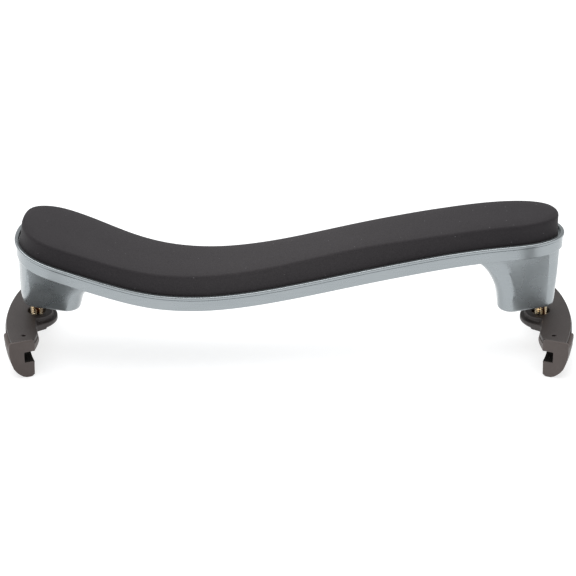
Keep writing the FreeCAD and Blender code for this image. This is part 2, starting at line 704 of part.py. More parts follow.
base_shell()
pad_adhesive()
foam_pad()
for side in SIGNS:
    for place, along in stud_places(side).items():
        insert(side, place, along)
    stud(side)
    collar(side)
    claw_plate(side)
    for place in ("front", "back"):
        foot(side, place)
        pin(side, place)
doc.recompute()

# ---------------------------------------------------------------- checks and output

for thing in doc.Objects:
    if "Invalid" in thing.State or "Error" in thing.State:
        raise RuntimeError(f"{thing.Label} did not build: {thing.State}")
for thing in part_objects:
    shape = thing.Shape
    if shape.isNull() or not shape.isValid() or len(shape.Solids) != 1:
        raise RuntimeError(f"{thing.Label} is not one sound solid")

os.makedirs("parts", exist_ok=True)
for thing in part_objects:
    thing.Shape.exportStep(f"parts/{thing.Label}.step")
    print(f"{thing.Label:24s} {thing.Shape.Volume:10.1f} mm3")
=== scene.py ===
import math

import bmesh
import bpy
import numpy as np
from mathutils import Matrix, Vector
from mathutils.bvhtree import BVHTree


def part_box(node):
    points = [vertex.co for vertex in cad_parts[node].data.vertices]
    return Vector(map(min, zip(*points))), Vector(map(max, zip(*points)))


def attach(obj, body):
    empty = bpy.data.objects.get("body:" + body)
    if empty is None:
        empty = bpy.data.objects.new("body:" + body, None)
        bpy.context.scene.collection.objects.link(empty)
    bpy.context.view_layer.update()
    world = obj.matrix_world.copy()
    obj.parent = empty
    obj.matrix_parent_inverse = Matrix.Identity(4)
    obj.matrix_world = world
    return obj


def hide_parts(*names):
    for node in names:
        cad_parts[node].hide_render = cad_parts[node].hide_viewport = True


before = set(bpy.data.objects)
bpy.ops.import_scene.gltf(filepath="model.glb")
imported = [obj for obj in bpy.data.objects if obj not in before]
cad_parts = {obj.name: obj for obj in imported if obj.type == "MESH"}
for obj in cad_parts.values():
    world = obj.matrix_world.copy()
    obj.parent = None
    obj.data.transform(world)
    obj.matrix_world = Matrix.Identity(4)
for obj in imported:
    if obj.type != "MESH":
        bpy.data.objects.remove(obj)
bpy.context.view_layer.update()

# Violin shoulder rest. Metres; X along the rest, -Y towards the viewer, Z up.

MM = 0.001
SIDES = {"left": -1, "right": 1}
UP = Vector((0, 0, 1))
DOWN = -UP

# ---------------------------------------------------------------- mesh helpers


def new_object(name, mesh):
    """Object of a mesh, in the scene."""
    thing = bpy.data.objects.new(name, mesh)
    bpy.context.scene.collection.objects.link(thing)
    return thing


def solid(name, points, faces):
    """Object from points and faces, with its normals turned outwards."""
    mesh = bpy.data.meshes.new(name)
    mesh.from_pydata([tuple(point) for point in points], [], faces)
    build = bmesh.new()
    build.from_mesh(mesh)
    bmesh.ops.recalc_face_normals(build, faces=build.faces)
    build.to_mesh(mesh)
    build.free()
    return new_object(name, mesh)


def apply_modifiers(thing):
    """Give the object the mesh that its modifiers make, and drop them."""
    bpy.context.view_layer.update()
    graph = bpy.context.evaluated_depsgraph_get()
    mesh = bpy.data.meshes.new_from_object(thing.evaluated_get(graph), depsgraph=graph)
    thing.modifiers.clear()
    thing.data = mesh


def combine(thing, tool, operation):
    """Boolean of two closed objects; the tool is used up."""
    modifier = thing.modifiers.new(operation, "BOOLEAN")
    modifier.operation = operation
    modifier.solver = "EXACT"
    modifier.object = tool
    apply_modifiers(thing)
    bpy.data.objects.remove(tool)


def smooth(thing, sharp_angle):
    """Smooth shading, with creases where faces meet at more than an angle in degrees."""
    thing.data.shade_smooth()
    thing.data.set_sharp_from_angle(angle=math.radians(sharp_angle))


def register(thing, body, material, replaced):
    """Give a piece its material and body, and hide the CAD nodes that it stands for."""
    thing.data.materials.clear()
    thing.data.materials.append(material)
    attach(thing, body)
    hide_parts(*replaced)
    return thing


def walls(levels, count):
    """Quads between rings of points, each ring numbered straight after the one below it."""
    faces = []
    for level in range(levels - 1):
        low, high = level * count, (level + 1) * count
        for index in range(count):
            ahead = (index + 1) % count
            faces.append((low + index, low + ahead, high + ahead, high + index))
    return faces


def curve_through(places, values):
    """Natural cubic spline through values at rising places, as a function of numpy arrays."""
    places = np.array(places, float)
    values = np.array(values, float)
    count = len(places)
    gap = np.diff(places)
    slope = np.diff(values) / gap
    system = np.eye(count)
    bend = np.zeros(count)
    for index in range(1, count - 1):
        last_gap, next_gap = gap[index - 1], gap[index]
        system[index, index - 1:index + 2] = last_gap, 2 * (last_gap + next_gap), next_gap
        bend[index] = 6 * (slope[index] - slope[index - 1])
    second = np.linalg.solve(system, bend)

    def value(place):
        at = np.clip(np.searchsorted(places, place) - 1, 0, count - 2)
        after = place - places[at]
        before = places[at + 1] - place
        cubic = (second[at] * before ** 3 + second[at + 1] * after ** 3) / (6 * gap[at])
        start = values[at] / gap[at] - second[at] * gap[at] / 6
        end = values[at + 1] / gap[at] - second[at + 1] * gap[at] / 6
        return cubic + start * before + end * after

    return value


# ---------------------------------------------------------------- the run of the rest, from the CAD frame


def surface(node):
    """Surface of a CAD node, to cast rays at."""
    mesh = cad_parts[node].data
    return BVHTree.FromPolygons([v.co for v in mesh.vertices], [p.vertices[:] for p in mesh.polygons])


PAD = surface("foam_pad")
SHELL = surface("base_shell")
PAD_LOW, PAD_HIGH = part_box("foam_pad")
SPINE = (PAD_LOW.y + PAD_HIGH.y) / 2
END_ROUND = 21.8 * MM     # length over which each end of the pad rounds off
CLEAR = 0.2               # how far away rays start, well clear of the rest
TIP_MARGIN = 0.6 * MM     # in from the pad's tips, where its heights are read first and last
STATIONS = 25             # places where the heights are read
SIDE_STATIONS = 11        # places where the sides are read
END_RAYS = 8              # rays in each quarter of an end
OUTLINE = 320             # points round the rest


def meets(tree, start, way):
    """Point where a ray first meets a surface."""
    return tree.ray_cast(Vector(start), Vector(way))[0]


def read_heights():
    """Underside and top of the pad along the rest."""
    places = np.linspace(PAD_LOW.x + TIP_MARGIN, PAD_HIGH.x - TIP_MARGIN, STATIONS)
    tops = [meets(PAD, (x, SPINE, CLEAR), DOWN).z for x in places]
    undersides = [meets(PAD, (x, SPINE, -CLEAR), UP).z for x in places]
    return curve_through(places, undersides), curve_through(places, tops)


pad_foot, pad_top = read_heights()


def pad_middle(x):
    """Height halfway up the pad."""
    return (pad_foot(x) + pad_top(x)) / 2


def lip_rise():
    """Height of the top of the tray's lip over the pad's underside."""
    onto_lip = 1.1 * MM     # from the pad's side out to the flat of the lip
    near = meets(PAD, (0, -CLEAR, pad_middle(0)), (0, 1, 0)).y
    return meets(SHELL, (0, near - onto_lip, CLEAR), DOWN).z - float(pad_foot(0))


LIP_RISE = lip_rise()
LIP_HEIGHT = 1.3 * MM


def lip(x):
    """Height of the top of the tray's lip."""
    return pad_foot(x) + LIP_RISE


def lip_middle(x):
    """Height halfway down the face of the tray's lip."""
    return lip(x) - LIP_HEIGHT / 2


class Outline:
    """Closed outline of a piece in plan: left tip, -Y side, right tip, +Y side."""

    def __init__(self, node, tree, level):
        low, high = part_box(node)
        self.tree = tree
        self.level = level
        left = self.read_end(low.x, -1)
        right = self.read_end(high.x, 1)[::-1]
        near, far = self.read_sides(low.x + END_ROUND, high.x - END_ROUND)
        loop = left[END_RAYS:] + near + right + far[::-1] + left[:END_RAYS]
        self.points = self.even(loop, END_RAYS + 1 + len(near) + END_RAYS)
        forward = np.roll(self.points, -1, axis=0) - np.roll(self.points, 1, axis=0)
        forward /= np.linalg.norm(forward, axis=1)[:, None]
        self.outward = np.stack([forward[:, 1], -forward[:, 0]], axis=1)

    def read_end(self, tip, way):
        """Points round one end, from its +Y side by the tip to its -Y side."""
        root = tip - way * END_ROUND
        level = float(self.level(root))
        climb = (float(self.level(tip)) - level) / (tip - root)
        sides = [meets(self.tree, (root, side * CLEAR, level), (0, -side, 0)).y for side in (1, -1)]
        points = []
        for step in range(-END_RAYS, END_RAYS + 1):
            angle = math.pi / 2 * step / END_RAYS
            spoke = Vector((way * math.cos(angle), -math.sin(angle), climb * way * math.cos(angle)))
            start = Vector((root, sum(sides) / 2, level)) + spoke * CLEAR
            points.append(meets(self.tree, start, -spoke).xy)
        return points

    def read_sides(self, first, last):
        """Points along the -Y and +Y sides between the ends, from left to right."""
        places = np.linspace(first, last, SIDE_STATIONS + 2)[1:-1]
        near = [meets(self.tree, (x, -CLEAR, self.level(x)), (0, 1, 0)).xy for x in places]
        far = [meets(self.tree, (x, CLEAR, self.level(x)), (0, -1, 0)).xy for x in places]
        return near, far

    def even(self, loop, right_tip):
        """Evenly spaced points on a smooth curve through a loop that starts at the left tip."""
        wrap = 6     # points repeated before and after the loop, so that the curve closes smoothly
        points = np.array(loop[-wrap:] + loop + loop[:wrap + 1])
        along = np.concatenate([[0], np.cumsum(np.linalg.norm(np.diff(points, axis=0), axis=1))])
        start, turn, end = along[[wrap, wrap + right_tip, wrap + len(loop)]]
        half = OUTLINE // 2
        steps = np.concatenate([np.linspace(start, turn, half, endpoint=False),
                                np.linspace(turn, end, half, endpoint=False)])
        return np.stack([curve_through(along, points[:, axis])(steps) for axis in (0, 1)], axis=1)

    def parallel(self, reach, height, rise):
        """Ring at a distance outside the outline, at a rise over a height curve."""
        plan = self.points + self.outward * reach
        return np.column_stack([plan, height(plan[:, 0]) + rise])


PAD_EDGE = Outline("foam_pad", PAD, pad_middle)
LIP_EDGE = Outline("base_shell", SHELL, lip_middle)


def close_ring(points, faces, ring, height, strips):
    """Close a ring of point numbers with rungs from its -Y side to its +Y side."""
    half = len(ring) // 2
    last = [ring[0]] * (strips + 1)
    for index in range(1, half):
        near, far = points[ring[index]], points[ring[-index]]
        rung = [ring[index]]
        for step in range(1, strips):
            share = step / strips
            x, y = near[0] + (far[0] - near[0]) * share, near[1] + (far[1] - near[1]) * share
            points.append((x, y, height(x, share, near[2], far[2])))
            rung.append(len(points) - 1)
        rung.append(ring[-index])
        for step in range(strips):
            faces.append((last[step], rung[step], rung[step + 1], last[step + 1]))
        last = rung
    for step in range(strips):
        faces.append((last[step], ring[half], last[step + 1]))


def stacked(name, rings, foot_fill, top_fill, strips):
    """Closed solid from rings, with the first and the last closed by rungs at the fills' heights."""
    points = [tuple(point) for ring in rings for point in ring]
    count = len(rings[0])
    faces = walls(len(rings), count)
    top = (len(rings) - 1) * count
    close_ring(points, faces, list(range(count)), foot_fill, strips)
    close_ring(points, faces, list(range(top, top + count)), top_fill, strips)
    once_each = [tuple(dict.fromkeys(face)) for face in faces]     # the first rung is a single point
    return solid(name, points, once_each)


# ---------------------------------------------------------------- foam pad

PAD_EDGE_RADIUS = 1.1 * MM      # soft cut edge round the top of the foam
PAD_CROWN = 0.35 * MM           # rise of the top between its edges
PAD_WAIST = 0.18 * MM           # how far the cut side draws in at half height
PAD_LEAN = 0.6                  # lean of the sides: 0 is upright, 1 is square to the tray's slope
PAD_SIDE_ROWS = 8
PAD_EDGE_ROWS = 5
PAD_STRIPS = 14


def pad_point_rows():
    """Rings of the pad from its foot to the inner side of its rounded top edge.

    The foam is a flat sheet bent onto the tray, so its sides lean with the tray's slope.
    """
    foot = PAD_EDGE.parallel(0, pad_foot, 0)
    step = 0.1 * MM     # either way from a point, to take the slope between
    slope = (pad_foot(foot[:, 0] + step) - pad_foot(foot[:, 0] - step)) / (2 * step)
    height = pad_top(foot[:, 0]) - foot[:, 2]
    top_x = foot[:, 0] - PAD_LEAN * height * slope / (1 + slope ** 2)
    climb = np.column_stack([top_x - foot[:, 0], 0 * top_x, pad_top(top_x) - foot[:, 2]])
    thickness = np.linalg.norm(climb, axis=1)
    climb /= thickness[:, None]

    def ring(reach, up):
        return PAD_EDGE.parallel(reach, pad_foot, 0) + climb * np.reshape(up, (-1, 1))

    rings = []
    straight = thickness - PAD_EDGE_RADIUS
    for row in range(PAD_SIDE_ROWS + 1):
        share = row / PAD_SIDE_ROWS
        rings.append(ring(-PAD_WAIST * math.sin(math.pi * share), straight * share))
    for row in range(1, PAD_EDGE_ROWS + 1):
        angle = math.pi / 2 * row / PAD_EDGE_ROWS
        rings.append(ring(-PAD_EDGE_RADIUS * (1 - math.cos(angle)),
                          straight + PAD_EDGE_RADIUS * math.sin(angle)))
    return rings


def shoulder_pad():
    """Foam pad: a cut sheet with a slight waist, a rounded top edge and a slight crown."""
    rings = pad_point_rows()

    def flat(x, share, near, far):
        return near + (far - near) * share

    def crowned(x, share, near, far):
        return flat(x, share, near, far) + PAD_CROWN * (1 - (2 * share - 1) ** 4)

    pad = stacked("shoulder_pad", rings, flat, crowned, PAD_STRIPS)
    smooth(pad, sharp_angle=50)
    return pad


# ---------------------------------------------------------------- moulded base

RIM_DEPTH = 6.5 * MM        # lip top to the underside of the tray
WALL_STEP = 0.55 * MM       # side wall in from the outside of the lip
LIP_WIDTH = 1.6 * MM
FLOOR_INSET = 4.0 * MM      # outside of the lip to the flat of the floor
SEAT_DEPTH = 1.4 * MM       # lip top to a floor just under the adhesive
LIP_ROUND = 0.6 * MM
FOOT_ROUND = 0.5 * MM       # lower edge of the side wall
GROOVE = 0.45 * MM          # witness line under the lip
TRAY_STRIPS = 8


def arc_rows(centre_reach, centre_rise, radius, start, end, steps):
    """Section points of an arc; angles in degrees from outwards to upwards."""
    rows = []
    for step in range(steps + 1):
        angle = math.radians(start + (end - start) * step / steps)
        rows.append((centre_reach + radius * math.cos(angle), centre_rise + radius * math.sin(angle)))
    return rows


def tray():
    """Section of the lip, groove and side wall carried round the rest, closed above and below."""
    inner_round = LIP_ROUND / 3     # lower and inner edges of the lip
    section = [(-FLOOR_INSET, -RIM_DEPTH)]
    section += arc_rows(-WALL_STEP - FOOT_ROUND, FOOT_ROUND - RIM_DEPTH, FOOT_ROUND, -90, 0, steps=5)
    section += [(-WALL_STEP, -LIP_HEIGHT - GROOVE), (-WALL_STEP - GROOVE, -LIP_HEIGHT)]
    section += arc_rows(-inner_round, inner_round - LIP_HEIGHT, inner_round, -90, 0, steps=2)
    section += arc_rows(-LIP_ROUND, -LIP_ROUND, LIP_ROUND, 0, 90, steps=5)
    section += arc_rows(inner_round - LIP_WIDTH, -inner_round, inner_round, 90, 180, steps=3)
    section += [(-LIP_WIDTH, -SEAT_DEPTH), (-FLOOR_INSET, -SEAT_DEPTH)]
    rings = [LIP_EDGE.parallel(reach, lip, rise) for reach, rise in section]

    def under(x, share, near, far):
        return float(lip(x)) - RIM_DEPTH

    def seat(x, share, near, far):
        return float(lip(x)) - SEAT_DEPTH

    return stacked("tray_and_legs", rings, under, seat, TRAY_STRIPS)


def leg_envelope():
    """Upright column a little inside the side wall, which the legs are cut to."""
    inset = 1.3 * MM
    low, high = -5 * MM, 90 * MM     # past both ends of a leg
    plan = LIP_EDGE.points - LIP_EDGE.outward * inset
    points = [(x, y, level) for level in (low, high) for x, y in plan]
    count = len(plan)
    ends = [tuple(range(count)), tuple(range(count, 2 * count))]
    return solid("leg_envelope", points, walls(2, count) + ends)


LEG_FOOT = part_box("base_shell")[0].z
STUD = {side: sum(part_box("stud_" + side), Vector()) / 2 for side in SIDES}     # middle of each stud
LEG_OUTER, LEG_INNER = 4.6 * MM, 18.5 * MM              # stud axis to the ends of the foot
LEG_OUTER_HALF, LEG_INNER_HALF = 6.9 * MM, 13.2 * MM    # half depth of the foot at its ends
LEG_OUTER_CORNER, LEG_INNER_CORNER = 5.6 * MM, 5.0 * MM
LEG_FOOT_ROUND = 1.5 * MM                               # lower edge of a leg
LEG_OVERLAP = 2.5 * MM                                  # leg's top over the tray's underside
# Growth of a leg with height, in millimetres: rise, inner end inwards, outer end outwards, half
# depth at the outer end and at the inner end.
LEG_GROWTH = {
    "left": ((0, 0, 0, 0, 0), (6, 1.4, 0.5, 4, 1.6), (11, 3.9, 0.8, 5.8, 3.4), (17, 12, 1.2, 6.6, 5.6),
             (31, 26, 1.7, 8, 8)),
    "right": ((0, 0, 0, 0.3, 0.7), (9, 1, 0.6, 0.4, 1.1), (16, 3.7, 1, 0.5, 1.4),
              (22, 8.4, 1.2, 0.6, 1.7), (31, 23, 1.5, 0.8, 2)),
}
INSERT_ROOM = 0.5 * MM      # past the ends of the brass inserts
STUD_BORE = 2.7 * MM        # radius of the room that a raised stud turns in, above its insert
CORNER_STEPS = 8            # steps round each corner of a leg's plan
SIDE_STEPS = 7              # and along each side
LEG_FOOT_ROWS = 5
LEG_ROWS = 22
ROUND_SEGMENTS = 64         # flats round a drilled or turned shape


def corner_arc(before, corner, after, radius):
    """Arc that rounds one corner of a plan outline."""
    back, ahead = (before - corner).normalized(), (after - corner).normalized()
    half_turn = back.angle(ahead) / 2
    centre = corner + (back + ahead).normalized() * radius / math.sin(half_turn)
    spoke = corner + back * radius / math.tan(half_turn) - centre
    sweep = math.copysign(math.pi - 2 * half_turn, ahead.cross(back).z)
    return [centre + Matrix.Rotation(sweep * step / CORNER_STEPS, 3, "Z") @ spoke
            for step in range(CORNER_STEPS + 1)]


def rounded_quad(corners, radii):
    """Points round a quadrilateral with an arc at each corner."""
    arcs = [corner_arc(corners[index - 1], corner, corners[(index + 1) % 4], radii[index])
            for index, corner in enumerate(corners)]
    points = []
    for index, arc in enumerate(arcs):
        points += arc
        start, end = arc[-1], arcs[(index + 1) % 4][0]
        points += [start.lerp(end, step / SIDE_STEPS) for step in range(1, SIDE_STEPS)]
    return points


def leg_section(side):
    """Plan of a leg, drawn in by an inset, as a function of the rise over its foot."""
    sign = SIDES[side]
    stud = STUD[side].x
    rises, *growth = (np.array(column) * MM for column in zip(*LEG_GROWTH[side]))
    grow_in, grow_out, deepen_out, deepen_in = (curve_through(rises, column) for column in growth)

    def section(rise, inset=0.0):
        """Plan points of the leg at a rise over its foot."""
        outer = stud + sign * (LEG_OUTER + float(grow_out(rise)) - inset)
        inner = stud - sign * (LEG_INNER + float(grow_in(rise)) - inset)
        outer_half = LEG_OUTER_HALF + float(deepen_out(rise)) - inset
        inner_half = LEG_INNER_HALF + float(deepen_in(rise)) - inset
        corners = [Vector((outer, -outer_half, 0)), Vector((outer, outer_half, 0)),
                   Vector((inner, inner_half, 0)), Vector((inner, -inner_half, 0))]
        radii = [LEG_OUTER_CORNER - inset / 2] * 2 + [LEG_INNER_CORNER - inset / 2] * 2
        return rounded_quad(corners, radii)

    return section


def leg_tops(section):
    """Rise of a leg's top at each point round it, found in passes because the leg flares on the way."""
    first_guess, passes = 20 * MM, 6
    below_lip = RIM_DEPTH - LEG_OVERLAP
    tops = [first_guess] * len(section(0))
    for _ in range(passes):
        reached = [section(rise)[index] for index, rise in enumerate(tops)]
        tops = [float(lip(point.x)) - below_lip - LEG_FOOT for point in reached]
    return tops


def leg(side):
    """Loft from the foot of a leg up into the tray."""
    section = leg_section(side)
    tops = leg_tops(section)
    rings = []
    for row in range(LEG_FOOT_ROWS):
        angle = math.pi / 2 * row / LEG_FOOT_ROWS
        rise = LEG_FOOT_ROUND * (1 - math.cos(angle))
        inset = LEG_FOOT_ROUND * (1 - math.sin(angle))
        rings.append([(point.x, point.y, LEG_FOOT + rise) for point in section(rise, inset)])
    for row in range(LEG_ROWS + 1):
        ring = []
        for index, top in enumerate(tops):
            rise = LEG_FOOT_ROUND + (top - LEG_FOOT_ROUND) * row / LEG_ROWS
            point = section(rise)[index]
            ring.append((point.x, point.y, LEG_FOOT + rise))
        rings.append(ring)
    count = len(tops)
    points = [point for ring in rings for point in ring]
    centre = len(points)
    last = centre - count
    points.append(tuple(np.mean(rings[-1], axis=0)))
    faces = walls(len(rings), count)
    faces.append(tuple(range(count)))
    faces += [(last + index, last + (index + 1) % count, centre) for index in range(count)]
    return solid("leg_" + side, points, faces)


def drill(centre, radius, low, high):
    """Upright cylinder between two heights, to cut with."""
    build = bmesh.new()
    bmesh.ops.create_cone(build, cap_ends=True, segments=ROUND_SEGMENTS, radius1=radius, radius2=radius,
                          depth=high - low,
                          matrix=Matrix.Translation((centre.x, centre.y, (low + high) / 2)))
    mesh = bpy.data.meshes.new("drill")
    build.to_mesh(mesh)
    build.free()
    return new_object("drill", mesh)


def bore(shell, side, place):
    """Cut the room of a brass insert and, above it, of a raised stud, as deep as the CAD's."""
    low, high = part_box(f"insert_{side}_{place}")
    centre = (low + high) / 2
    bore_end = meets(SHELL, (centre.x, centre.y, -CLEAR), UP).z
    room = drill(centre, (high.x - low.x) / 2, low.z - INSERT_ROOM, high.z + INSERT_ROOM)
    combine(shell, room, "DIFFERENCE")
    combine(shell, drill(centre, STUD_BORE, high.z, bore_end), "DIFFERENCE")


def base():
    """Tray with both legs and their bores, in one piece as it is moulded."""
    shell = tray()
    for side in SIDES:
        post = leg(side)
        combine(post, leg_envelope(), "INTERSECT")
        combine(shell, post, "UNION")
    for side in SIDES:
        for place in ("outer", "inner"):
            bore(shell, side, place)
    smooth(shell, sharp_angle=32)
    even = shell.modifiers.new("even", "WEIGHTED_NORMAL")
    even.keep_sharp = True
    apply_modifiers(shell)
    return shell


# ---------------------------------------------------------------- claws and feet

PLATE_VOXEL, PLATE_PASSES = 0.25 * MM, 6     # voxels and rounds of smoothing of the plates
FOOT_VOXEL, FOOT_PASSES = 0.22 * MM, 11      # and of the feet
WELD = 0.001 * MM                            # points closer than this are one


def softened(node, name, voxel, passes):
    """Copy of a CAD node with its edges rounded as a moulding's are."""
    build = bmesh.new()
    build.from_mesh(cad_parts[node].data)
    bmesh.ops.remove_doubles(build, verts=build.verts, dist=WELD)
    mesh = bpy.data.meshes.new(name)
    build.to_mesh(mesh)
    build.free()
    thing = new_object(name, mesh)
    remesh = thing.modifiers.new("voxels", "REMESH")
    remesh.mode = "VOXEL"
    remesh.voxel_size = voxel
    rounding = thing.modifiers.new("rounding", "SMOOTH")
    rounding.factor = 0.5
    rounding.iterations = passes
    apply_modifiers(thing)
    thing.data.shade_smooth()
    return thing


CLAW_ARC, CLAW_APEX = 70 * MM, 11.6 * MM     # outer edge: its radius, and the stud's distance to it
CLAW_SET = 4                                 # degrees that each claw is turned to suit the violin
SLOT_NEAR, SLOT_FAR = 61.0 * MM, 65.3 * MM   # reach of the slots from the middle of the claw's arc
SLOT_LOW, SLOT_HIGH = 7.0 * MM, 11.7 * MM    # and their height


def shade_slot_faces(foot, side, material):
    """Give the faces inside a foot's slot, told by their place, the material of painted shade in the slot.
    """
    facing = math.radians(90 - 90 * SIDES[side] + SIDES[side] * CLAW_SET)
    reach = CLAW_ARC - CLAW_APEX
    arc_middle = Vector((STUD[side].x - reach * math.cos(facing), -reach * math.sin(facing)))
    foot.data.materials.append(material)
    for face in foot.data.polygons:
        away = (face.center.xy - arc_middle).length
        if SLOT_NEAR < away < SLOT_FAR and SLOT_LOW < face.center.z < SLOT_HIGH:
            face.material_index = 1


# ---------------------------------------------------------------- brass

STUD_RADIUS = 2.5 * MM
STUD_HEAD_HEIGHT = 1.2 * MM
STUD_CHAMFER = 0.3 * MM
THREAD_PITCH = 0.8 * MM
THREAD_DEPTH = 0.45 * MM
THREAD_FADE = 1.2 * MM      # length over which the thread runs in and out
THREAD_START = 0.4 * MM     # over the head
THREAD_END = 0.5 * MM       # under the stud's upper end
THREAD_SEGMENTS = 40
THREAD_ROWS = 8             # rows of points in each turn
# Flank of the thread, in thread depths: its climb over half a pitch, and where it starts from the root.
FLANK_CLIMB, FLANK_START = 1.6, -0.3
BROKEN_EDGE = 0.25 * MM     # of the stud's head
COLLAR_BORE = 2.55 * MM     # radius
COLLAR_FLANGE = 0.7 * MM    # thickness
COLLAR_LEDGE = 0.5 * MM     # flange past the barrel
COLLAR_EDGE = 0.2 * MM


def around(centre, reach, angle, height):
    """Point at a reach and an angle round a vertical line."""
    return centre.x + reach * math.cos(angle), centre.y + reach * math.sin(angle), height


def lathe(name, outline, centre):
    """Solid turned about a vertical line from a closed outline of radius and height."""
    points = []
    faces = []
    count = len(outline)
    for segment in range(ROUND_SEGMENTS):
        angle = 2 * math.pi * segment / ROUND_SEGMENTS
        for radius, height in outline:
            points.append(around(centre, radius, angle, height))
    for segment in range(ROUND_SEGMENTS):
        ahead = (segment + 1) % ROUND_SEGMENTS
        for index in range(count):
            after = (index + 1) % count
            faces.append((segment * count + index, ahead * count + index,
                          ahead * count + after, segment * count + after))
    return solid(name, points, faces)


def threaded_stud(side):
    """Stud with its real helical thread, a flat head and a chamfered upper end."""
    low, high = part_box("stud_" + side)
    centre = STUD[side]
    head_radius = (high.x - low.x) / 2
    head_top = low.z + STUD_HEAD_HEIGHT
    root = STUD_RADIUS - THREAD_DEPTH
    thread_foot = head_top + THREAD_START
    points = []

    def ring(reach_at, height):
        for index in range(THREAD_SEGMENTS):
            angle = 2 * math.pi * index / THREAD_SEGMENTS
            points.append(around(centre, reach_at(angle), angle, height))

    for reach, height in ((head_radius - BROKEN_EDGE, low.z), (head_radius, low.z + BROKEN_EDGE),
                          (head_radius, head_top - BROKEN_EDGE), (head_radius - BROKEN_EDGE, head_top),
                          (root, head_top)):
        ring(lambda angle, reach=reach: reach, height)
    for level in np.arange(thread_foot, high.z - THREAD_END, THREAD_PITCH / THREAD_ROWS):
        depth = THREAD_DEPTH * min(1.0, (level - thread_foot) / THREAD_FADE, (high.z - level) / THREAD_FADE)

        def thread(angle, level=level, depth=depth):
            phase = (level / THREAD_PITCH - angle / (2 * math.pi)) % 1.0
            flank = FLANK_CLIMB * (1 - abs(2 * phase - 1)) + FLANK_START
            return root + depth * min(1.0, max(0.0, flank))

        ring(thread, level)
    ring(lambda angle: root - STUD_CHAMFER, high.z)
    ends = [tuple(range(start, start + THREAD_SEGMENTS)) for start in (0, len(points) - THREAD_SEGMENTS)]
    faces = walls(len(points) // THREAD_SEGMENTS, THREAD_SEGMENTS) + ends
    stud = solid("threaded_stud_" + side, points, faces)
    smooth(stud, sharp_angle=40)
    return stud


def brass_collar(side):
    """Flanged bush with broken edges."""
    low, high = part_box("collar_" + side)
    outer = (high.x - low.x) / 2
    barrel = outer - COLLAR_LEDGE
    ledge = high.z - COLLAR_FLANGE
    outline = [(COLLAR_BORE, low.z), (barrel, low.z), (barrel, ledge), (outer, ledge),
               (outer, high.z - COLLAR_EDGE), (outer - COLLAR_EDGE, high.z),
               (COLLAR_BORE + COLLAR_EDGE, high.z), (COLLAR_BORE, high.z - COLLAR_EDGE)]
    collar = lathe("brass_collar_" + side, outline, (low + high) / 2)
    smooth(collar, sharp_angle=30)
    return collar


# ---------------------------------------------------------------- materials

# Sockets of a mix node that is set to colours.
MIX_SHARE, MIX_FIRST, MIX_SECOND = 0, 6, 7
MIX_RESULT = 2


class Finish:
    """Node tree of one material, round one Principled shader."""

    def __init__(self, name, **values):
        self.material = bpy.data.materials.new(name)
        self.material.use_nodes = True
        self.tree = self.material.node_tree
        self.shader = self.tree.nodes["Principled BSDF"]
        for socket, value in values.items():
            self.shader.inputs[socket.replace("_", " ")].default_value = value
        self.place = self.node("ShaderNodeTexCoord").outputs["Object"]

    def node(self, kind, settings=None, **inputs):
        """New node; an input is a value or the socket that feeds it."""
        made = self.tree.nodes.new(kind)
        for key, value in (settings or {}).items():
            setattr(made, key, value)
        for key, value in inputs.items():
            self.feed(made.inputs[key.replace("_", " ")], value)
        return made

    def stretched(self, scale):
        """Place scaled along each axis: more than 1 makes a pattern finer that way."""
        return self.node("ShaderNodeMapping", Vector=self.place, Scale=scale).outputs["Vector"]

    def noise(self, scale, detail=2.0, roughness=0.5, place=None):
        """Soft random pattern from 0 to 1."""
        return self.node("ShaderNodeTexNoise", Vector=place or self.place, Scale=scale, Detail=detail,
                         Roughness=roughness).outputs["Fac"]

    def specks(self, scale, size):
        """1 in small round specks, 0 elsewhere."""
        cells = self.node("ShaderNodeTexVoronoi", Vector=self.place, Scale=scale, Randomness=1.0)
        return self.ramp(cells.outputs["Distance"], (0.0, size), (1.0, 0.0))

    def ramp(self, value, places, levels):
        """Value carried from one range to another, and held at its ends."""
        made = self.node("ShaderNodeMapRange", Value=value)
        for key, number in zip(("From Min", "From Max", "To Min", "To Max"), (*places, *levels)):
            made.inputs[key].default_value = number
        return made.outputs["Result"]

    def feed(self, socket, value):
        """Set a socket to a value, or link it to the socket that feeds it."""
        if isinstance(value, bpy.types.NodeSocket):
            self.tree.links.new(value, socket)
        else:
            socket.default_value = value

    def mix(self, share, first, second):
        """Colour that goes from the first to the second as the share goes from 0 to 1."""
        made = self.node("ShaderNodeMix", {"data_type": "RGBA"})
        self.feed(made.inputs[MIX_SHARE], share)
        self.feed(made.inputs[MIX_FIRST], first)
        self.feed(made.inputs[MIX_SECOND], second)
        return made.outputs[MIX_RESULT]

    def bump(self, height, strength, distance):
        """Normal tilted by a pattern of heights."""
        made = self.node("ShaderNodeBump", Strength=strength, Distance=distance, Height=height)
        return made.outputs["Normal"]

    def set(self, **sockets):
        """Link the shader's sockets, and give the material."""
        for socket, value in sockets.items():
            self.tree.links.new(value, self.shader.inputs[socket.replace("_", " ")])
        return self.material


def colour(red, green, blue):
    """Linear colour from 0-255 display values."""
    def linear(value):
        value /= 255
        return value / 12.92 if value <= 0.04045 else ((value + 0.055) / 1.055) ** 2.4
    return (linear(red), linear(green), linear(blue), 1.0)


